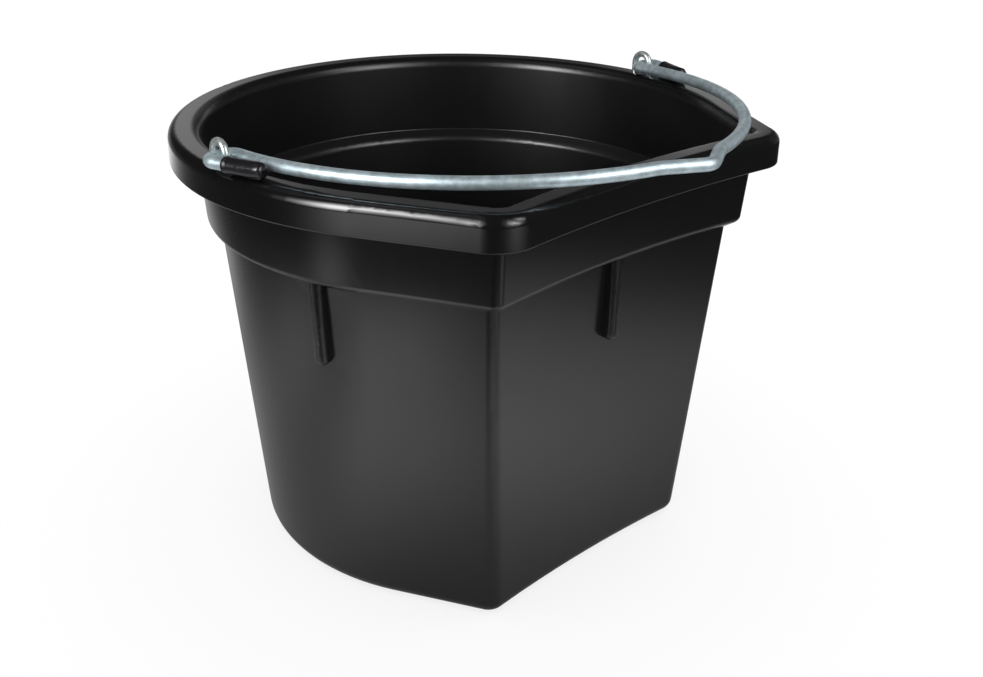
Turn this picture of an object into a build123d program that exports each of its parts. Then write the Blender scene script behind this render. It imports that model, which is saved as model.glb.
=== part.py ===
"""Flat-back bucket with a wire bail, built as separate pieces, in millimetres.

Origin on the base at the axis of the round front, +Z up, +Y towards the flat back, X along the
bail's pivot line. The bail lies folded over the flat back, resting on its two end caps.
"""
import os
from math import cos, radians, sin, sqrt

from build123d import *

os.makedirs("parts", exist_ok=True)

# Moulded bucket: outline at the rim
bucket_height = 284.0
rim_radius = 186.2
rim_back = 168.4
side_angle = 30.0
rim_corner = 25.0
rim_bow = 7.2

# Moulded bucket: rim, collar and wall
skirt_height = 19.5
skirt_thickness = 3.4
skirt_flare = 0.4
deck_thickness = 4.0
rim_top_round = 6.5
rim_lip_round = 7.5
skirt_edge_round = 1.2
collar_height = 39.0
collar_top_inset = 15.4
collar_foot_inset = 18.8
collar_corner = 7.0
collar_edge_round = 5.0
shoulder_width = 8.0
shoulder_drop = 5.0
wall_corner = 8.0
wall_thickness = 3.4
lip_thickness = 5.8
inner_corner = 4.0
ledge_thickness = 2.0
ledge_round = 1.2
ledge_edge_round = 6.0

# Moulded bucket: base
base_radius_inset = 43.1
base_back_inset = 36.4
base_bow = 3.8
base_corner = 13.0
base_thickness = 4.0
base_round = 10.0
floor_round = 7.0

# Stacking ribs under the collar
rib_width = 9.0
rib_drop = 55.0
rib_step = 1.5
rib_foot_depth = 8.0
rib_side_angle = 17.8
rib_round = 3.5

# Eyes: bent rod with two threaded legs, a washer and a nut on each
eye_inset = 8.2
eye_rod = 4.5
eye_pitch = 13.0
eye_rise = 15.8
thread_diameter = 5.0
thread_start = 1.0
hole_clearance = 0.25
washer_diameter = 9.0
washer_thickness = 1.0
nut_width = 8.0
nut_height = 4.0
nut_clearance = 0.05
nut_bevel = 0.6
leg_end = 2.2

# Bail: round wire with a hook at each end and a hanging notch in the middle
wire_diameter = 7.5
pin_length = 5.5
hook_radius = 6.0
bail_arc_radius = 188.0
bail_lean = 1.4
bail_tilt = 1.9
notch_half_width = 26.0
notch_depth = 15.0
notch_tip_radius = 9.0
notch_side_radius = 18.0
tail_lean = 19.0
tail_length = 33.1

# Caps on the hook ends
cap_diameter = 10.0
cap_length = 26.8
cap_end_wall = 1.5
cap_bore_clearance = 0.05
cap_round = 1.6
cap_gap = 0.3

# Overshoot of a cut past an open face, and the margin for finding edges at a height
cut_over = 1.0
level_margin = 0.01

# Heights and radii that follow
collar_foot_z = bucket_height - skirt_height - collar_height
deck_z = bucket_height - deck_thickness
shoulder_z = collar_foot_z - shoulder_drop
wall_top_inset = collar_foot_inset + shoulder_width
ledge_z = collar_foot_z + ledge_thickness
ledge_low_z = shoulder_z + ledge_thickness
eye_x = rim_radius - eye_inset
pivot_z = bucket_height + cap_diameter / 2 + cap_gap


def outline(radius, back, bow, corner, z):
    """Closed wire: round front, straight sides leaving it at a tangent, hollowed back."""
    a = radians(side_angle)
    half = (radius - back * sin(a)) / cos(a)
    back_radius = (half**2 + bow**2) / (2 * bow)
    back_y = back - bow + back_radius
    reach = radius - corner
    b = back_y * cos(a)
    c = reach**2 + back_y**2 - 2 * back_y * reach * sin(a) - (back_radius + corner) ** 2
    s = b - sqrt(b**2 - c)
    px = reach * cos(a) - s * sin(a)
    py = reach * sin(a) + s * cos(a)
    ux = -px / (back_radius + corner)
    uy = (back_y - py) / (back_radius + corner)
    mx = cos(a) + ux
    my = sin(a) + uy
    m = sqrt(mx**2 + my**2)
    side_start = (radius * cos(a), radius * sin(a))
    side_end = (px + corner * cos(a), py + corner * sin(a))
    bend = (px + corner * mx / m, py + corner * my / m)
    back_start = (px + corner * ux, py + corner * uy)

    def right(point):
        return (point[0], point[1], z)

    def left(point):
        return (-point[0], point[1], z)

    return Wire(
        [
            ThreePointArc(left(side_start), (0, -radius, z), right(side_start)),
            Line(right(side_start), right(side_end)),
            ThreePointArc(right(side_end), right(bend), right(back_start)),
            ThreePointArc(right(back_start), (0, back - bow, z), left(back_start)),
            ThreePointArc(left(back_start), left(bend), left(side_end)),
            Line(left(side_end), left(side_start)),
        ]
    )


def level(inset, back_inset, bow, corner, z):
    """Outline set in from the rim by an inset on the round and one on the back."""
    return outline(rim_radius - inset, rim_back - back_inset, bow, corner, z)


def between(low, high):
    return Solid.make_loft([low, high], ruled=True)


def rim_level(inset, z):
    return level(inset, inset, rim_bow, rim_corner - inset, z)


def collar_inset(z):
    up = (z - collar_foot_z) / (deck_z - collar_foot_z)
    return collar_foot_inset + (collar_top_inset - collar_foot_inset) * up


def collar_level(depth, corner, z):
    inset = collar_inset(z) + depth
    return level(inset, inset, rim_bow, corner, z)


def wall_level(depth, corner_cut, z):
    """Outline of the tapered wall at a height, set in by a depth."""
    up = z / shoulder_z
    inset = base_radius_inset + (wall_top_inset - base_radius_inset) * up
    back_inset = base_back_inset + (wall_top_inset - base_back_inset) * up
    bow = base_bow + (rim_bow - base_bow) * up
    corner = base_corner + (wall_corner - base_corner) * up
    return level(inset + depth, back_inset + depth, bow, corner - corner_cut, z)


def level_edges(solid, z):
    """Edges of a solid that lie at a height."""
    return solid.edges().filter_by_position(Axis.Z, z - level_margin, z + level_margin)


def rib(turn, collar_reach, wall_foot_reach):
    """Half-round stacking rib under the collar, drawn outwards along X and turned about Z."""
    half = rib_width / 2
    foot_z = collar_foot_z - rib_drop
    root = wall_foot_reach - wall_thickness / 2
    nose = wall_foot_reach + rib_foot_depth - half
    lean = (collar_reach - rib_step - half - nose) / rib_drop
    plan = Wire(
        [
            Line((root, half, foot_z), (nose, half, foot_z)),
            ThreePointArc((nose, half, foot_z), (nose + half, 0, foot_z), (nose, -half, foot_z)),
            Line((nose, -half, foot_z), (root, -half, foot_z)),
            Line((root, -half, foot_z), (root, half, foot_z)),
        ]
    )
    height = rib_drop + collar_edge_round
    block = extrude(make_face(plan), height * sqrt(1 + lean**2), dir=(lean, 0, 1))
    foot_edges = [e for e in level_edges(block, foot_z) if e.center().X > root + level_margin]
    block = fillet(foot_edges, rib_round)
    return Rot(0, 0, turn) * block


def export(solid, node):
    export_step(solid, f"parts/{node}.step")


# Bucket: wall, collar and rim hollowed out as one moulding
wall = between(wall_level(0, 0, 0), wall_level(0, 0, shoulder_z))
wall = fillet(level_edges(wall, 0), base_round)
collar_foot = collar_level(0, collar_corner, collar_foot_z)
collar = between(wall_level(0, 0, shoulder_z), collar_foot)
collar += between(collar_foot, collar_level(0, collar_corner, deck_z))
collar = fillet(level_edges(collar, collar_foot_z), collar_edge_round)

skirt_z = bucket_height - skirt_height
rim = between(rim_level(-skirt_flare, skirt_z), rim_level(0, bucket_height))
rim = fillet(level_edges(rim, bucket_height), rim_top_round)
rim = fillet(level_edges(rim, skirt_z), skirt_edge_round)
rim -= between(rim_level(skirt_thickness - skirt_flare, skirt_z), rim_level(skirt_thickness, deck_z))

foot_up = (collar_foot_z - rib_drop) / shoulder_z
wall_foot_inset = base_radius_inset + (wall_top_inset - base_radius_inset) * foot_up
wall_foot_back = base_back_inset + (wall_top_inset - base_back_inset) * foot_up
wall_foot_bow = base_bow + (rim_bow - base_bow) * foot_up
round_reach = (rim_radius - collar_foot_inset, rim_radius - wall_foot_inset)
back_reach = (rim_back - collar_foot_inset - rim_bow, rim_back - wall_foot_back - wall_foot_bow)
ribs = [
    rib(90, *back_reach),
    rib(rib_side_angle, *round_reach),
    rib(180 - rib_side_angle, *round_reach),
    rib(-90, *round_reach),
]

hollow_top = wall_level(wall_thickness, wall_thickness, ledge_low_z)
hollow = between(wall_level(wall_thickness, wall_thickness, base_thickness), hollow_top)
hollow = fillet(level_edges(hollow, base_thickness), floor_round)
mouth_foot = collar_level(wall_thickness, inner_corner, ledge_z)
mouth = between(mouth_foot, collar_level(lip_thickness, inner_corner, bucket_height + cut_over))
cavity = hollow + between(hollow_top, mouth_foot) + mouth
cavity = fillet(level_edges(cavity, ledge_low_z), ledge_edge_round)
cavity = fillet(level_edges(cavity, ledge_z), ledge_round)

shell = wall + collar + rim
for each in ribs:
    shell += each
shell -= cavity
deck = shell.faces().filter_by(Axis.Z).sort_by(Axis.Z)[-1]
shell = fillet(deck.inner_wires()[0].edges(), rim_lip_round)
hole = Cylinder(thread_diameter / 2 + hole_clearance, 2 * (deck_thickness + cut_over))
for side in (1, -1):
    for end in (1, -1):
        shell -= Pos(side * eye_x, end * eye_pitch / 2, bucket_height) * hole
export(shell, "bucket_shell")

# Eyes with their washers and nuts
arch_radius = eye_pitch / 2
arch_z = bucket_height + eye_rise - eye_rod / 2 - arch_radius
washer_z = deck_z - washer_thickness
nut_z = washer_z - nut_height
leg_z = nut_z - leg_end
thread_top_z = bucket_height - thread_start
path = Wire(
    [
        Line((0, -arch_radius, thread_top_z), (0, -arch_radius, arch_z)),
        ThreePointArc((0, -arch_radius, arch_z), (0, 0, arch_z + arch_radius), (0, arch_radius, arch_z)),
        Line((0, arch_radius, arch_z), (0, arch_radius, thread_top_z)),
    ]
)
eye = sweep(Plane((0, -arch_radius, thread_top_z)) * Circle(eye_rod / 2), path)
leg = extrude(Circle(thread_diameter / 2), thread_top_z - leg_z)
leg = chamfer(leg.edges().group_by(Axis.Z)[0], (thread_diameter - eye_rod) / 2)
for end in (1, -1):
    eye += Pos(0, end * arch_radius, leg_z) * leg

washer = Circle(washer_diameter / 2) - Circle(thread_diameter / 2 + hole_clearance)
washer = extrude(washer, washer_thickness)
nut = extrude(RegularPolygon(nut_width / 2, 6, major_radius=False, rotation=30), nut_height)
barrel = Pos(0, 0, nut_height / 2) * Cylinder(nut_width / sqrt(3), nut_height)
nut &= chamfer(barrel.edges().filter_by(GeomType.CIRCLE), nut_bevel)
nut -= Pos(0, 0, nut_height / 2) * Cylinder(thread_diameter / 2 + nut_clearance, nut_height + cut_over)

for name, side in (("left", 1), ("right", -1)):
    export(Pos(side * eye_x, 0, 0) * eye, f"{name}_eye")
    for place, end in (("rear", 1), ("front", -1)):
        spot = Pos(side * eye_x, end * arch_radius, 0)
        export(spot * Pos(0, 0, washer_z) * washer, f"{name}_{place}_washer")
        export(spot * Pos(0, 0, nut_z) * nut, f"{name}_{place}_nut")

# Bail: drawn flat with its pivot on the X axis, tilted, then lifted to the eyes
lean = radians(bail_lean)
pin_end = eye_x - pin_length / 2
bend_mid = (pin_end - hook_radius * sin(radians(45)), hook_radius * (1 - cos(radians(45))))
bend_end = (pin_end - hook_radius * cos(lean), hook_radius * (1 - sin(lean)))
arc_x = bend_end[0] - bail_arc_radius * cos(lean)
arc_y = bend_end[1] - bail_arc_radius * sin(lean)


def on_arc(x):
    return (x, arc_y + sqrt(bail_arc_radius**2 - (x - arc_x) ** 2))


def mirrored(point):
    return (-point[0], point[1])


shoulder = on_arc(notch_half_width)
half_way = on_arc((bend_end[0] + notch_half_width) / 2)
tip = (0, shoulder[1] + notch_depth)
path = Wire(
    [
        Line((eye_x, 0), (pin_end, 0)),
        ThreePointArc((pin_end, 0), bend_mid, bend_end),
        ThreePointArc(bend_end, half_way, shoulder),
        Line(shoulder, tip),
        Line(tip, mirrored(shoulder)),
        ThreePointArc(mirrored(shoulder), mirrored(half_way), mirrored(bend_end)),
        ThreePointArc(mirrored(bend_end), mirrored(bend_mid), (-pin_end, 0)),
        Line((-pin_end, 0), (-eye_x, 0)),
    ]
)
sides = [v for v in path.vertices() if abs(abs(v.X) - notch_half_width) < 0.01 and v.Y > hook_radius]
path = path.fillet_2d(notch_side_radius, sides)
peak = path.vertices().sort_by(Axis.Y)[-1]
path = path.fillet_2d(notch_tip_radius, [peak])
section = Plane((eye_x, 0, 0), x_dir=(0, 1, 0), z_dir=(-1, 0, 0)) * Circle(wire_diameter / 2)
bail = Rot(bail_tilt, 0, 0) * sweep(section, path)

# Hook tails and the caps on them, lying level with the rim
fold = radians(tail_lean)
turn_centre = (eye_x + pin_length / 2, hook_radius)
turn_mid = (
    turn_centre[0] + hook_radius * cos(radians(45)),
    turn_centre[1] - hook_radius * sin(radians(45)),
)
tail_start = (turn_centre[0] + hook_radius * cos(fold), turn_centre[1] + hook_radius * sin(fold))
tail_end = (tail_start[0] - tail_length * sin(fold), tail_start[1] + tail_length * cos(fold))
path = Wire(
    [
        Line((eye_x, 0), (turn_centre[0], 0)),
        ThreePointArc((turn_centre[0], 0), turn_mid, tail_start),
        Line(tail_start, tail_end),
    ]
)
section = Plane((eye_x, 0, 0), x_dir=(0, 1, 0), z_dir=(1, 0, 0)) * Circle(wire_diameter / 2)
tail = sweep(section, path)
bail = bail + tail + mirror(tail, Plane.YZ)
export(Pos(0, 0, pivot_z) * bail, "bail")

cap = fillet(Cylinder(cap_diameter / 2, cap_length).edges().group_by(Axis.Z)[-1], cap_round)
bore_depth = cap_length - cap_end_wall
bore = Cylinder(wire_diameter / 2 + cap_bore_clearance, bore_depth)
cap -= Pos(0, 0, bore_depth / 2 - cap_length / 2) * bore
along = Plane(
    origin=(tail_end[0], tail_end[1], 0),
    x_dir=(0, 0, 1),
    z_dir=(-sin(fold), cos(fold), 0),
)
cap = along * Pos(0, 0, cap_length / 2 - bore_depth + cap_bore_clearance) * cap
export(Pos(0, 0, pivot_z) * cap, "left_hook_cap")
export(Pos(0, 0, pivot_z) * mirror(cap, Plane.YZ), "right_hook_cap")
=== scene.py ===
"""Flat-back feed bucket: finishes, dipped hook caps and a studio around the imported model."""
import math

import bmesh
import bpy
from mathutils import Matrix, Vector


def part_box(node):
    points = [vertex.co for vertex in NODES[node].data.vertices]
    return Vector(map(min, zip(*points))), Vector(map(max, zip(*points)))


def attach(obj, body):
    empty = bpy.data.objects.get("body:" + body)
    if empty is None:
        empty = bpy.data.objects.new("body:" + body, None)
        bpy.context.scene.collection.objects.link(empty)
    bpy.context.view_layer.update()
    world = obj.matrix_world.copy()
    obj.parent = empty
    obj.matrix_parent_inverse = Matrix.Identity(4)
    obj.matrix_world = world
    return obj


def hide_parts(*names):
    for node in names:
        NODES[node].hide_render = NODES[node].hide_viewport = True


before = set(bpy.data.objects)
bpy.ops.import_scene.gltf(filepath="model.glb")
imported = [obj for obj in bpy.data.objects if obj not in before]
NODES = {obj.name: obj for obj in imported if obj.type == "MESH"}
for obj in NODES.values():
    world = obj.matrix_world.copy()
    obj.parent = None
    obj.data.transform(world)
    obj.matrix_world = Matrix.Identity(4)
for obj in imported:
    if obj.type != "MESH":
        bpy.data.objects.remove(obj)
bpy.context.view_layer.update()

bl_info = {
    "name": "Flat-back bucket",
    "version": (1, 0, 0),
    "blender": (4, 5, 0),
    "location": "View3D > Sidebar > Bucket",
    "description": "Finishes, hook caps and studio for a flat-back feed bucket",
    "category": "Object",
}

BASE_Z, RIM_Z = (corner.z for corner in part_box("bucket_shell"))
SIDES = ("left", "right")
PLACES = ("front", "rear")
EYES = [f"{side}_eye" for side in SIDES]
FASTENERS = [f"{side}_{place}_{kind}" for kind in ("washer", "nut") for side in SIDES for place in PLACES]


class Field:
    """A shader output that can be used in Python expressions."""

    def __init__(self, tree, socket=None):
        self.tree = tree
        self.socket = socket

    def make(self, kind, settings=None, inputs=None, output=0):
        """Add a node, set it up, feed its sockets and return one of its outputs."""
        node = self.tree.nodes.new(kind)
        for name, value in (settings or {}).items():
            setattr(node, name, value)
        for key, value in (inputs or {}).items():
            if isinstance(value, Field):
                self.tree.links.new(value.socket, node.inputs[key])
            else:
                node.inputs[key].default_value = value
        return Field(self.tree, node.outputs[output] if node.outputs else None)

    def maths(self, operation, first, second=0.0):
        """A Math node on one or two values."""
        return self.make("ShaderNodeMath", {"operation": operation}, {0: first, 1: second})

    def __add__(self, other):
        return self.maths("ADD", self, other)

    __radd__ = __add__

    def __sub__(self, other):
        return self.maths("SUBTRACT", self, other)

    def __rsub__(self, other):
        return self.maths("SUBTRACT", other, self)

    def __mul__(self, other):
        return self.maths("MULTIPLY", self, other)

    __rmul__ = __mul__

    def __truediv__(self, other):
        return self.maths("DIVIDE", self, other)

    def __pow__(self, other):
        return self.maths("POWER", self, other)

    def step(self, low, high):
        """Smooth rise from 0 at low to 1 at high."""
        if low > high:
            return 1 - self.step(high, low)
        span = {"Value": self, "From Min": low, "From Max": high}
        return self.make("ShaderNodeMapRange", {"interpolation_type": "SMOOTHSTEP"}, span)

    def split(self):
        """The three parts of a vector."""
        node = self.make("ShaderNodeSeparateXYZ", inputs={0: self}).socket.node
        return [Field(self.tree, out) for out in node.outputs]

    def scaled(self, x, y, z):
        """A vector stretched along each axis."""
        return self.make("ShaderNodeVectorMath", {"operation": "MULTIPLY"}, {0: self, 1: (x, y, z)})

    def noise(self, scale, detail=2.0, roughness=0.5):
        """Noise from 0 to 1 about 0.5, with a grain of 1 / scale metres."""
        inputs = {"Vector": self, "Scale": scale, "Detail": detail, "Roughness": roughness}
        return self.make("ShaderNodeTexNoise", inputs=inputs)

    def bell(self, across):
        """1 where this value and the one across it are 0, falling off as a bell."""
        return self.maths("EXPONENT", -1 * (self * self + across * across))

    def blend(self, first, second):
        """A colour between two, where this value is the share of the second."""
        settings = {"data_type": "RGBA", "blend_type": "MIX"}
        return self.make("ShaderNodeMix", settings, {0: self, 6: first, 7: second}, output=2)


def rgba(colour):
    """A colour with full opacity."""
    return (*colour, 1.0)


def shades(colour, dark, pale):
    """A colour times two shares, for the dark and the pale end of a blend."""
    return [rgba(min(1.0, part * share) for part in colour) for share in (dark, pale)]


def start_material(name):
    """An empty material and its object coordinates."""
    material = bpy.data.materials.new(name)
    material.use_nodes = True
    material.node_tree.nodes.clear()
    field = Field(material.node_tree)
    return material, field.make("ShaderNodeTexCoord", output="Object")


def end_material(place, inputs, height):
    """Close a material with a Principled shader, and a bump from a height in metres."""
    inputs["Normal"] = place.make("ShaderNodeBump", inputs={"Height": height, "Distance": 1.0})
    shader = place.make("ShaderNodeBsdfPrincipled", inputs=inputs)
    place.make("ShaderNodeOutputMaterial", inputs={"Surface": shader})


def dress(obj, material):
    """Give an object one material alone."""
    obj.data.materials.clear()
    obj.data.materials.append(material)


WELD_REACH = 2.0e-6
SHARP_ANGLE = math.radians(32)


def shade_true(obj):
    """Shade a CAD node by its real curves: join its triangles, part them at sharp edges, weigh the rest."""
    weld = obj.modifiers.new("joined_triangles", "WELD")
    weld.merge_threshold = WELD_REACH
    split = obj.modifiers.new("sharp_edges", "EDGE_SPLIT")
    split.split_angle = SHARP_ANGLE
    split.use_edge_sharp = False
    weighted = obj.modifiers.new("true_normals", "WEIGHTED_NORMAL")
    weighted.mode = "FACE_AREA_WITH_ANGLE"


class BucketFinish(bpy.types.PropertyGroup):
    """Colours and gloss of the bucket's finishes."""

    shell_colour: bpy.props.FloatVectorProperty(
        name="Shell colour", description="Black of the moulded polyethylene", subtype="COLOR",
        default=(0.0062, 0.0062, 0.0066), min=0.0, max=1.0)
    scuff_colour: bpy.props.FloatVectorProperty(
        name="Scuff colour", description="Grey of the rubbed foot and rim", subtype="COLOR",
        default=(0.022, 0.022, 0.022), min=0.0, max=1.0)
    wall_roughness: bpy.props.FloatProperty(
        name="Wall roughness", description="Satin of the wall and base", subtype="FACTOR",
        default=0.20, min=0.0, max=1.0)
    rim_roughness: bpy.props.FloatProperty(
        name="Rim roughness", description="Gloss of the collar and rim", subtype="FACTOR",
        default=0.11, min=0.0, max=1.0)
    inside_roughness: bpy.props.FloatProperty(
        name="Inside roughness", description="Satin of the inside, from the mould's core", subtype="FACTOR",
        default=0.30, min=0.0, max=1.0)
    wire_colour: bpy.props.FloatVectorProperty(
        name="Wire colour", description="Blue-grey of the galvanised wire", subtype="COLOR",
        default=(0.525, 0.63, 0.675), min=0.0, max=1.0)
    wire_roughness: bpy.props.FloatProperty(
        name="Wire roughness", description="Satin of the galvanised wire", subtype="FACTOR",
        default=0.38, min=0.0, max=1.0)
    wire_metal: bpy.props.FloatProperty(
        name="Wire metal", description="Share of clean metal in the dull zinc skin", subtype="FACTOR",
        default=0.66, min=0.0, max=1.0)
    plate_colour: bpy.props.FloatVectorProperty(
        name="Plate colour", description="Bright zinc of the eyes, washers and nuts", subtype="COLOR",
        default=(0.62, 0.66, 0.66), min=0.0, max=1.0)
    plate_roughness: bpy.props.FloatProperty(
        name="Plate roughness", description="Gloss of the zinc plate", subtype="FACTOR",
        default=0.27, min=0.0, max=1.0)
    plate_metal: bpy.props.FloatProperty(
        name="Plate metal", description="Share of clean metal in the zinc plate", subtype="FACTOR",
        default=0.7, min=0.0, max=1.0)
    cap_colour: bpy.props.FloatVectorProperty(
        name="Cap colour", description="Purple-black of the dipped vinyl", subtype="COLOR",
        default=(0.006, 0.005, 0.007), min=0.0, max=1.0)
    cap_roughness: bpy.props.FloatProperty(
        name="Cap roughness", description="Half gloss of the dipped vinyl", subtype="FACTOR",
        default=0.24, min=0.0, max=1.0)


class BucketStudio(bpy.types.PropertyGroup):
    """Camera, table and dark room."""

    azimuth: bpy.props.FloatProperty(
        name="Azimuth", description="Camera's turn about the bucket", subtype="ANGLE",
        default=math.radians(137.17))
    elevation: bpy.props.FloatProperty(
        name="Elevation", description="Camera's height above the level", subtype="ANGLE",
        default=math.radians(26.35))
    roll: bpy.props.FloatProperty(
        name="Roll", description="Camera's turn about its own axis", subtype="ANGLE",
        default=math.radians(0.716))
    distance: bpy.props.FloatProperty(
        name="Distance", description="Camera to its target", unit="LENGTH", default=0.85069)
    target: bpy.props.FloatVectorProperty(
        name="Target", description="Point on the camera's axis", subtype="XYZ", unit="LENGTH",
        default=(-0.04867, -0.02913, 0.09096))
    lens: bpy.props.FloatProperty(
        name="Lens", description="Focal length on a 36 mm wide sensor", default=40.411)
    shift: bpy.props.FloatVectorProperty(
        name="Shift", description="Offset of the picture from the camera's axis", size=2,
        default=(0.0070, 0.0030))
    floor_colour: bpy.props.FloatVectorProperty(
        name="Floor colour", description="White of the table", subtype="COLOR",
        default=(0.97, 0.97, 0.97), min=0.0, max=1.0)
    floor_glow: bpy.props.FloatProperty(
        name="Floor glow", description="Share of plain white in the table as it is seen", subtype="FACTOR",
        default=0.75, min=0.0, max=1.0)
    room_light: bpy.props.FloatProperty(
        name="Room light", description="Brightness of the dark room in reflections", default=0.02, min=0.0)


POLYETHYLENE_IOR = 1.54
# Heights on the shell: where each finish starts and where it is full
FOOT_RUB = (BASE_Z + 0.010, BASE_Z + 0.001)
COLLAR_GLOSS = (RIM_Z - 0.063, RIM_Z - 0.057)
RIM_RIPPLE = (RIM_Z - 0.022, RIM_Z - 0.017)
LIP_GLOSS = (RIM_Z - 0.005, RIM_Z)
RIM_RUB = (RIM_Z - 0.003, RIM_Z)
# Lean of the surface away from the axis times its distance from it, within which outside turns to inside
INSIDE_TURN = 0.01
# Patterns of the moulding: grains to the metre, and the stretch of some along Z
BLOTCH_SCALE = 26.0
CLOUD_SCALE = 9.0
STREAK_SCALE, STREAK_STRETCH = 160.0, 0.06
FOOT_RUB_SCALE = 240.0
RIM_RUB_SCALE, RIM_RUB_STRETCH = 70.0, 6.0
GRAIN_SCALE = 1400.0
RIPPLE_SCALE, RIPPLE_STRETCH = 34.0, 0.5
# Levels of the rubs' noise where a spot starts and where it is full
FOOT_RUB_SPOTS = (0.45, 0.75)
RIM_RUB_SPOTS = (0.60, 0.78)
# Relief of the moulding in metres, and how much of the grain the polished collar loses
GRAIN_HEIGHT = 3.0e-6
SINK_HEIGHT = 9.0e-5
RIPPLE_HEIGHT = 1.2e-4
COLLAR_POLISH = 0.7
# How much each pattern wears the skin or changes its roughness
FOOT_WEAR = 0.8
RIM_WEAR = 0.12
BLOTCH_ROUGHNESS = 0.06
STREAK_ROUGHNESS = 0.04
WEAR_ROUGHNESS = 0.25


class BUCKET_OT_shell(bpy.types.Operator):
    """Finish the moulded shell in satin black polyethylene"""

    bl_idname = "bucket.shell"
    bl_label = "Moulded shell"

    def execute(self, context):
        finish = context.scene.bucket_finish
        material, place = start_material("black_polyethylene")
        x, y, z = place.split()
        out_x, out_y, _ = place.make("ShaderNodeTexCoord", output="Normal").split()
        inside = (x * out_x + y * out_y).step(INSIDE_TURN, -INSIDE_TURN)
        collar = z.step(*COLLAR_GLOSS)
        rim = z.step(*RIM_RIPPLE)
        lip = z.step(*LIP_GLOSS)
        blotch = place.noise(BLOTCH_SCALE, detail=3.0)
        cloud = place.noise(CLOUD_SCALE)
        streaks = place.scaled(1.0, 1.0, STREAK_STRETCH).noise(STREAK_SCALE, detail=3.0)
        foot = z.step(*FOOT_RUB) * place.noise(FOOT_RUB_SCALE, detail=4.0).step(*FOOT_RUB_SPOTS)
        rub = place.scaled(1.0, 1.0, RIM_RUB_STRETCH).noise(RIM_RUB_SCALE, detail=4.0).step(*RIM_RUB_SPOTS)
        wear = foot * FOOT_WEAR + rub * z.step(*RIM_RUB) * RIM_WEAR
        satin = finish.wall_roughness + (finish.rim_roughness - finish.wall_roughness) * collar
        satin = satin + (finish.inside_roughness - satin) * inside * (1 - lip)
        uneven = (blotch - 0.5) * BLOTCH_ROUGHNESS + (streaks - 0.5) * STREAK_ROUGHNESS
        grain = (place.noise(GRAIN_SCALE) - 0.5) * (1 - COLLAR_POLISH * collar) * GRAIN_HEIGHT
        sink = (cloud - 0.5) * SINK_HEIGHT
        waves = place.scaled(1.0, 1.0, RIPPLE_STRETCH).noise(RIPPLE_SCALE, detail=1.0)
        ripple = (waves - 0.5) * rim * RIPPLE_HEIGHT
        end_material(
            place,
            {
                "Base Color": wear.blend(rgba(finish.shell_colour), rgba(finish.scuff_colour)),
                "Roughness": satin + uneven + wear * WEAR_ROUGHNESS,
                "IOR": POLYETHYLENE_IOR,
            },
            grain + sink + ripple,
        )
        dress(NODES["bucket_shell"], material)
        shade_true(NODES["bucket_shell"])
        return {"FINISHED"}


# Zinc on the wire: grains to the metre of its drawn lines, spangle and dull patches, then their effects
LINE_SCALE, LINE_STRETCH, LINE_HEIGHT = 1500.0, 0.02, 6.0e-6
SPANGLE_SCALE, SPANGLE_DARK, SPANGLE_PALE, SPANGLE_ROUGHNESS = 170.0, 0.74, 1.16, 0.2
SPANGLE_SPOTS = (0.25, 0.75)
DULL_SCALE, DULL_ROUGHNESS, DULL_HEIGHT = 30.0, 0.12, 3.0e-5


class BUCKET_OT_bail(bpy.types.Operator):
    """Finish the bail in smooth galvanised wire"""

    bl_idname = "bucket.bail"
    bl_label = "Galvanised bail"

    def execute(self, context):
        finish = context.scene.bucket_finish
        material, place = start_material("galvanised_wire")
        x, y, z = place.split()
        reach = (x * x + y * y) ** 0.5
        across = place.make("ShaderNodeCombineXYZ", inputs={0: reach, 1: z, 2: x * LINE_STRETCH})
        lines = across.noise(LINE_SCALE, detail=3.0)
        spangle = place.noise(SPANGLE_SCALE, detail=4.0, roughness=0.65)
        dull = place.noise(DULL_SCALE)
        tone = spangle.step(*SPANGLE_SPOTS)
        uneven = (dull - 0.5) * DULL_ROUGHNESS + (spangle - 0.5) * SPANGLE_ROUGHNESS
        end_material(
            place,
            {
                "Base Color": tone.blend(*shades(finish.wire_colour, SPANGLE_DARK, SPANGLE_PALE)),
                "Metallic": finish.wire_metal,
                "Roughness": finish.wire_roughness + uneven,
            },
            (lines - 0.5) * LINE_HEIGHT + (dull - 0.5) * DULL_HEIGHT,
        )
        dress(NODES["bail"], material)
        shade_true(NODES["bail"])
        return {"FINISHED"}


# Zinc plate: grains to the metre of its mottle and skin, then their effects
PLATE_SCALE, PLATE_CONTRAST, PLATE_DARK, PLATE_PALE, PLATE_UNEVEN = 420.0, 0.6, 0.9, 1.08, 0.12
PLATE_SKIN_SCALE, PLATE_SKIN_HEIGHT = 900.0, 6.0e-6


class BUCKET_OT_fasteners(bpy.types.Operator):
    """Finish the eyes, washers and nuts in bright zinc plate"""

    bl_idname = "bucket.fasteners"
    bl_label = "Eyes, washers and nuts"

    def execute(self, context):
        finish = context.scene.bucket_finish
        material, place = start_material("bright_zinc_plate")
        mottle = place.noise(PLATE_SCALE, detail=3.0)
        tone = (mottle - 0.5) * PLATE_CONTRAST + 0.5
        end_material(
            place,
            {
                "Base Color": tone.blend(*shades(finish.plate_colour, PLATE_DARK, PLATE_PALE)),
                "Metallic": finish.plate_metal,
                "Roughness": finish.plate_roughness + (mottle - 0.5) * PLATE_UNEVEN,
            },
            (place.noise(PLATE_SKIN_SCALE) - 0.5) * PLATE_SKIN_HEIGHT,
        )
        for name in EYES + FASTENERS:
            dress(NODES[name], material)
            shade_true(NODES[name])
        return {"FINISHED"}


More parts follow.
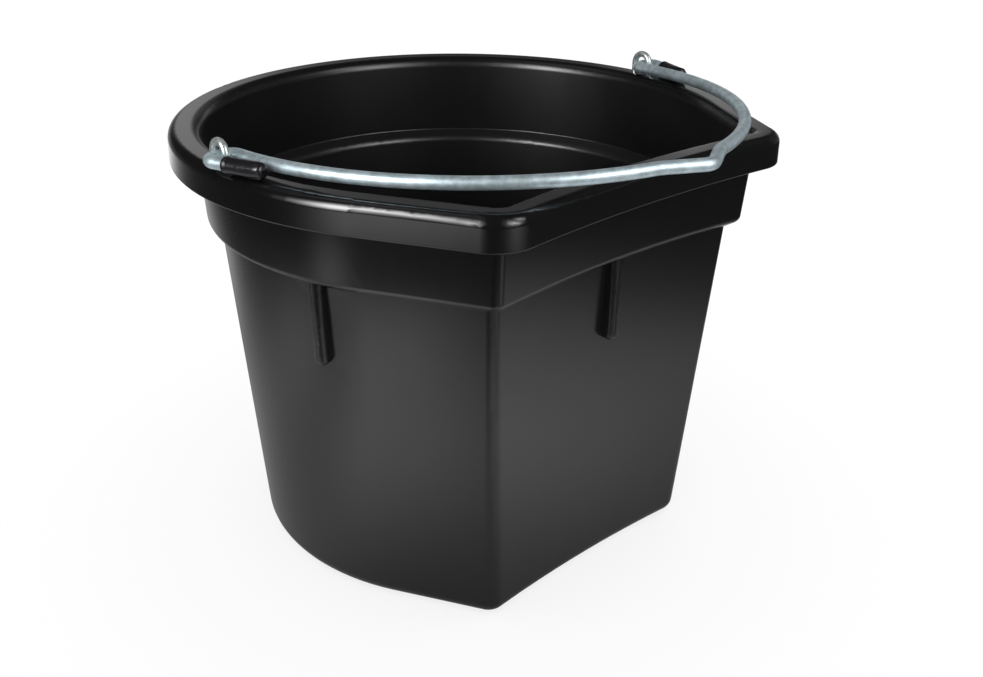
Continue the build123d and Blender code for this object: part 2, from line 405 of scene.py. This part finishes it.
# Section of a dipped cap, from the bottom of its bore round the mouth to the tip of its closed end:
# radius and distance from the mouth
CAP_SECTION = (
    (0.0, 0.0253), (0.0032, 0.0253), (0.00385, 0.0247), (0.00385, 0.0006), (0.0042, 0.0),
    (0.00475, 0.0002), (0.0050, 0.0010), (0.0049, 0.0021), (0.0047, 0.0032), (0.00475, 0.0075),
    (0.0049, 0.0150), (0.0050, 0.0215), (0.00485, 0.0242), (0.0039, 0.0260), (0.0020, 0.0267), (0.0, 0.0268),
)
# Dents where the vinyl was pushed on: distance from the mouth, turn about the cap, reach and depth
CAP_DENTS = (
    (0.0225, math.radians(20), 0.0030, 0.0007),
    (0.0205, math.radians(62), 0.0026, 0.0005),
    (0.0120, math.radians(75), 0.0040, 0.0003),
    (0.0065, math.radians(35), 0.0030, 0.0003),
)
CAP_STEPS = 40
CAP_ROUNDING = 2
CAP_LEAN = math.radians(19)
# Share of the cap's radius beyond which its skin dents, so that its bore stays round
DENT_SKIN = 0.9
VINYL_IOR = 1.53
# Dipped vinyl: grains to the metre of its sags and skin, then their effects
SAG_SCALE, SAG_PALE, SAG_ROUGHNESS, SAG_HEIGHT = 160.0, 1.5, 0.16, 4.0e-4
VINYL_SKIN_SCALE, VINYL_SKIN_HEIGHT = 900.0, 1.6e-5


class BUCKET_OT_caps(bpy.types.Operator):
    """Model the dipped vinyl caps on the hook ends"""

    bl_idname = "bucket.caps"
    bl_label = "Hook caps"

    def execute(self, context):
        material = self.vinyl(context.scene.bucket_finish)
        for side, turn in zip(SIDES, (1, -1)):
            self.cap(side, turn, material)
        return {"FINISHED"}

    def cap(self, side, turn, material):
        """A spun cap, laid on the tail of its hook; turn is 1 on the left and -1 on the right."""
        node = f"{side}_hook_cap"
        low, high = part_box(node)
        radius = (high.z - low.z) / 2
        along = Vector((-turn * math.sin(CAP_LEAN), math.cos(CAP_LEAN), 0))
        outer = high.x if turn > 0 else low.x
        middle = (low.z + high.z) / 2
        mouth = Vector((outer - turn * radius * along.y, low.y + radius * abs(along.x), middle))

        mesh = bmesh.new()
        section = [mesh.verts.new((r, 0, z)) for r, z in CAP_SECTION]
        edges = [mesh.edges.new(pair) for pair in zip(section, section[1:])]
        bmesh.ops.spin(
            mesh, geom=section + edges, cent=(0, 0, 0), axis=(0, 0, 1), angle=2 * math.pi,
            steps=CAP_STEPS, use_merge=True,
        )
        bmesh.ops.remove_doubles(mesh, verts=mesh.verts, dist=WELD_REACH)
        bmesh.ops.recalc_face_normals(mesh, faces=mesh.faces)
        for reach, angle, size, depth in CAP_DENTS:
            inward = Vector((-math.cos(angle), -math.sin(angle), 0))
            centre = Vector((0, 0, reach)) - inward * radius
            skin = [v for v in mesh.verts if v.co.xy.length > radius * DENT_SKIN]
            dented = [v for v in skin if (v.co - centre).length < size]
            bmesh.ops.translate(mesh, verts=dented, vec=inward * depth)
        outward = Vector((turn * along.y, -turn * along.x, 0))
        frame_turn = Matrix((outward, along.cross(outward), along)).transposed().to_4x4()
        bmesh.ops.transform(mesh, verts=mesh.verts, matrix=Matrix.Translation(mouth) @ frame_turn)
        for face in mesh.faces:
            face.smooth = True

        data = bpy.data.meshes.new(f"{side}_vinyl_cap")
        mesh.to_mesh(data)
        mesh.free()
        obj = bpy.data.objects.new(f"{side}_vinyl_cap", data)
        bpy.context.scene.collection.objects.link(obj)
        rounding = obj.modifiers.new("rounding", "SUBSURF")
        rounding.levels = rounding.render_levels = CAP_ROUNDING
        dress(obj, material)
        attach(obj, "bail")
        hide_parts(node)

    def vinyl(self, finish):
        """Half-gloss vinyl with slow sags and a fine skin."""
        material, place = start_material("dipped_vinyl")
        sag = place.noise(SAG_SCALE)
        skin = place.noise(VINYL_SKIN_SCALE, detail=3.0)
        end_material(
            place,
            {
                "Base Color": sag.blend(*shades(finish.cap_colour, 1.0, SAG_PALE)),
                "Roughness": finish.cap_roughness + (sag - 0.5) * SAG_ROUGHNESS,
                "IOR": VINYL_IOR,
            },
            (sag - 0.5) * SAG_HEIGHT + (skin - 0.5) * VINYL_SKIN_HEIGHT,
        )
        return material


def stage_mesh(name, mesh, material):
    """A stage object from a bmesh."""
    data = bpy.data.meshes.new(name)
    mesh.to_mesh(data)
    mesh.free()
    data.materials.append(material)
    obj = bpy.data.objects.new(name, data)
    bpy.context.scene.collection.objects.link(obj)
    return obj


def leave_unsampled(material):
    """Let a faint glow be met by chance, so that the search for lamps goes to the softboxes."""
    material.cycles.emission_sampling = "NONE"


def reflections_only(obj):
    """Show an object in reflections and through clear parts alone."""
    obj.visible_camera = False
    obj.visible_diffuse = False
    obj.visible_shadow = False
    obj.visible_volume_scatter = False


def bearing(azimuth, elevation=0.0):
    """Unit vector at an azimuth from +X and an elevation, both in degrees."""
    a, e = math.radians(azimuth), math.radians(elevation)
    return Vector((math.cos(a) * math.cos(e), math.sin(a) * math.cos(e), math.sin(e)))


SENSOR_WIDTH = 36.0
FLOOR_SPAN = 12.0
FLOOR_DROP = 0.0002
# Glow of the table as it is seen, a little over 1 so that its mix with the matt surface comes out white
TABLE_WHITE = 1.05
WHITE = (1.0, 1.0, 1.0)
# Sky straight below the table, and from the horizon up
SKY_LOW, SKY_HIGH = (0.94, 0.94, 0.94), WHITE
# Dark room round the bucket, and the card over the table with painted pools of light, which only reflections
# show
ROOM_RADIUS = 2.6
ROOM_SEGMENTS = 96
CARD_LIFT = 0.0004
# Distance of the softboxes, and how many times its patch of light each one spans
SOFTBOX_REACH = 1.9
SOFTBOX_SPREAD = 2.2
# Painted pools of light on the card over the table, standing in for the lamps' light on it, as the shell
# mirrors them: place, size and brightness
PAINTED_TABLE_POOLS = (
    ((0.43, 0.10), 0.085, 0.90),
    ((0.29, 0.09), 0.12, 1.02),
    ((0.16, 0.34), 0.13, 0.75),
    ((-0.06, 0.28), 0.145, 0.72),
    ((-0.24, 0.33), 0.13, 0.38),
    ((0.00, 0.54), 0.10, 0.52),
    ((0.40, -0.14), 0.125, 0.54),
    ((0.19, -0.20), 0.24, 0.35),
    ((0.06, -0.55), 0.17, 0.40),
    ((0.57, -0.02), 0.09, 0.75),
    ((1.11, 0.23), 0.26, 1.70),
    ((-0.08, 1.15), 0.36, 0.82),
    ((-0.12, -1.05), 0.30, 0.90),
    ((-0.60, -1.80), 0.90, 0.50),
    ((-0.50, -0.35), 0.22, 0.80),
    ((-0.85, -0.85), 0.45, 0.70),
    ((-0.36, 0.04), 0.16, 0.55),
    ((-0.30, -0.28), 0.16, 0.40),
)
# Softboxes and pale patches of the room as the shell mirrors them:
# azimuth, elevation, width and height in degrees, and brightness
SOFTBOXES = (
    (4.0, 29.0, 12.0, 18.0, 20.0),
    (95.0, 33.0, 14.0, 18.0, 8.0),
    (122.0, 50.0, 9.0, 8.0, 4.0),
)
ROOM_PATCHES = (
    (-112.0, 21.0, 8.0, 9.0, 0.60),
    (-148.0, 17.0, 5.0, 8.0, 0.55),
    (-45.0, 68.0, 40.0, 12.0, 0.45),
    (-135.0, 0.0, 40.0, 8.0, 0.80),
    (-130.0, 27.0, 20.0, 8.0, 0.16),
    (165.0, 20.0, 20.0, 25.0, 0.10),
)


class BUCKET_OT_stage(bpy.types.Operator):
    """Set the table, the dark room, the softboxes, the sky and the camera"""

    bl_idname = "bucket.stage"
    bl_label = "Studio"

    def execute(self, context):
        studio = context.scene.bucket_studio
        self.floor(studio)
        self.room(studio)
        self.softboxes(studio)
        self.sky(context)
        self.camera(context, studio)
        context.scene.view_settings.view_transform = "Standard"
        return {"FINISHED"}

    def floor(self, studio):
        """A white table that keeps the bucket's shadow."""
        material, place = start_material("white_table")
        rays = ("Is Camera Ray", "Is Glossy Ray", "Is Transmission Ray")
        seen = sum(place.make("ShaderNodeLightPath", output=ray) for ray in rays)
        matt = place.make("ShaderNodeBsdfDiffuse", inputs={"Color": rgba(studio.floor_colour)})
        white = place.make("ShaderNodeEmission", inputs={"Color": rgba(WHITE), "Strength": TABLE_WHITE})
        shader = place.make("ShaderNodeMixShader", inputs={0: seen * studio.floor_glow, 1: matt, 2: white})
        place.make("ShaderNodeOutputMaterial", inputs={"Surface": shader})
        leave_unsampled(material)
        mesh = bmesh.new()
        bmesh.ops.create_grid(mesh, x_segments=1, y_segments=1, size=FLOOR_SPAN / 2)
        bmesh.ops.translate(mesh, verts=mesh.verts, vec=(0, 0, -FLOOR_DROP))
        stage_mesh("table", mesh, material)

    def room(self, studio):
        """A card over the table with painted pools of light, and a dark room, which only reflections show.
        """
        material, place = start_material("painted_light_table")
        x, y, _ = place.split()
        light = studio.room_light
        # Painted light: each pool is glow drawn on the card where the lamps would light the table
        for (pool_x, pool_y), size, level in PAINTED_TABLE_POOLS:
            light = light + level * ((x - pool_x) / size).bell((y - pool_y) / size)
        self.glow(place, light)
        leave_unsampled(material)
        mesh = bmesh.new()
        bmesh.ops.create_circle(mesh, cap_ends=True, segments=ROOM_SEGMENTS, radius=ROOM_RADIUS)
        bmesh.ops.translate(mesh, verts=mesh.verts, vec=(0, 0, CARD_LIFT))
        reflections_only(stage_mesh("painted_light_table", mesh, material))

        material = self.patches("lamplit_room", studio, ROOM_PATCHES)
        leave_unsampled(material)
        mesh = bmesh.new()
        bmesh.ops.create_uvsphere(
            mesh, u_segments=ROOM_SEGMENTS, v_segments=ROOM_SEGMENTS // 2, radius=ROOM_RADIUS)
        reflections_only(stage_mesh("lamplit_room", mesh, material))

    def softboxes(self, studio):
        """Bright cards that face the bucket, which only reflections show."""
        material = self.patches("softbox_cloth", studio, SOFTBOXES)
        for number, (azimuth, elevation, width, height, _) in enumerate(SOFTBOXES, 1):
            out = bearing(azimuth, elevation)
            aside = bearing(azimuth + 90)
            across = SOFTBOX_REACH * math.tan(SOFTBOX_SPREAD * math.radians(width))
            up = SOFTBOX_REACH * math.tan(SOFTBOX_SPREAD * math.radians(height))
            turn = Matrix((aside * across, out.cross(aside) * up, out)).transposed().to_4x4()
            stand = Matrix.Translation(out * SOFTBOX_REACH)
            mesh = bmesh.new()
            bmesh.ops.create_grid(mesh, x_segments=1, y_segments=1, size=1.0)
            bmesh.ops.transform(mesh, verts=mesh.verts, matrix=stand @ turn)
            reflections_only(stage_mesh(f"softbox_{number}", mesh, material))

    def patches(self, name, studio, table):
        """A glow with soft patches in given directions from the origin."""
        material, place = start_material(name)
        x, y, z = place.make("ShaderNodeVectorMath", {"operation": "NORMALIZE"}, {0: place}).split()
        rise = place.maths("ARCSINE", z)
        light = studio.room_light
        for azimuth, elevation, width, height, level in table:
            ahead, aside = bearing(azimuth), bearing(azimuth + 90)
            turn = place.maths("ARCTAN2", x * aside.x + y * aside.y, x * ahead.x + y * ahead.y)
            spread = (rise - math.radians(elevation)) / math.radians(height)
            light = light + level * (turn / math.radians(width)).bell(spread)
        self.glow(place, light)
        return material

    def glow(self, place, strength):
        """Close a material with white light of a given strength."""
        shader = place.make("ShaderNodeEmission", inputs={"Color": rgba(WHITE), "Strength": strength})
        place.make("ShaderNodeOutputMaterial", inputs={"Surface": shader})

    def sky(self, context):
        """White light from all round, which reflections don't show."""
        world = bpy.data.worlds.new("white_surround")
        world.use_nodes = True
        world.node_tree.nodes.clear()
        field = Field(world.node_tree)
        _, _, height = field.make("ShaderNodeTexCoord", output="Generated").split()
        white = height.step(-1.0, 0.0).blend(rgba(SKY_LOW), rgba(SKY_HIGH))
        light = field.make("ShaderNodeBackground", inputs={"Color": white, "Strength": 1.0})
        field.make("ShaderNodeOutputWorld", inputs={"Surface": light})
        context.scene.world = world
        world.cycles_visibility.glossy = False

    def camera(self, context, studio):
        """A camera at the photograph's viewing angle."""
        data = bpy.data.cameras.new("camera")
        data.sensor_width = SENSOR_WIDTH
        data.lens = studio.lens
        data.shift_x, data.shift_y = studio.shift
        azimuth, elevation, roll = studio.azimuth, studio.elevation, studio.roll
        back = Vector((
            math.sin(azimuth) * math.cos(elevation),
            -math.cos(azimuth) * math.cos(elevation),
            math.sin(elevation),
        ))
        right = Vector((math.cos(azimuth), math.sin(azimuth), 0))
        up = back.cross(right)
        turned_right = math.cos(roll) * right + math.sin(roll) * up
        turned_up = math.cos(roll) * up - math.sin(roll) * right
        turn = Matrix((turned_right, turned_up, back)).transposed().to_4x4()
        stand = Matrix.Translation(Vector(studio.target) + back * studio.distance)
        obj = bpy.data.objects.new("camera", data)
        obj.matrix_world = stand @ turn
        context.scene.collection.objects.link(obj)
        context.scene.camera = obj


class BUCKET_PT_panel(bpy.types.Panel):
    """Bucket finishes and studio"""

    bl_label = "Flat-back bucket"
    bl_idname = "BUCKET_PT_panel"
    bl_space_type = "VIEW_3D"
    bl_region_type = "UI"
    bl_category = "Bucket"

    def draw(self, context):
        for operator in OPERATORS:
            self.layout.operator(operator.bl_idname)
        for group in (context.scene.bucket_finish, context.scene.bucket_studio):
            for name in group.__annotations__:
                self.layout.prop(group, name)


OPERATORS = (BUCKET_OT_shell, BUCKET_OT_bail, BUCKET_OT_fasteners, BUCKET_OT_caps, BUCKET_OT_stage)
CLASSES = (BucketFinish, BucketStudio, *OPERATORS, BUCKET_PT_panel)


def register():
    for cls in CLASSES:
        bpy.utils.register_class(cls)
    bpy.types.Scene.bucket_finish = bpy.props.PointerProperty(type=BucketFinish)
    bpy.types.Scene.bucket_studio = bpy.props.PointerProperty(type=BucketStudio)


def unregister():
    del bpy.types.Scene.bucket_studio
    del bpy.types.Scene.bucket_finish
    for cls in reversed(CLASSES):
        bpy.utils.unregister_class(cls)


def main():
    register()
    bpy.ops.bucket.shell()
    bpy.ops.bucket.bail()
    bpy.ops.bucket.fasteners()
    bpy.ops.bucket.caps()
    bpy.ops.bucket.stage()


if __name__ == "__main__":
    main()
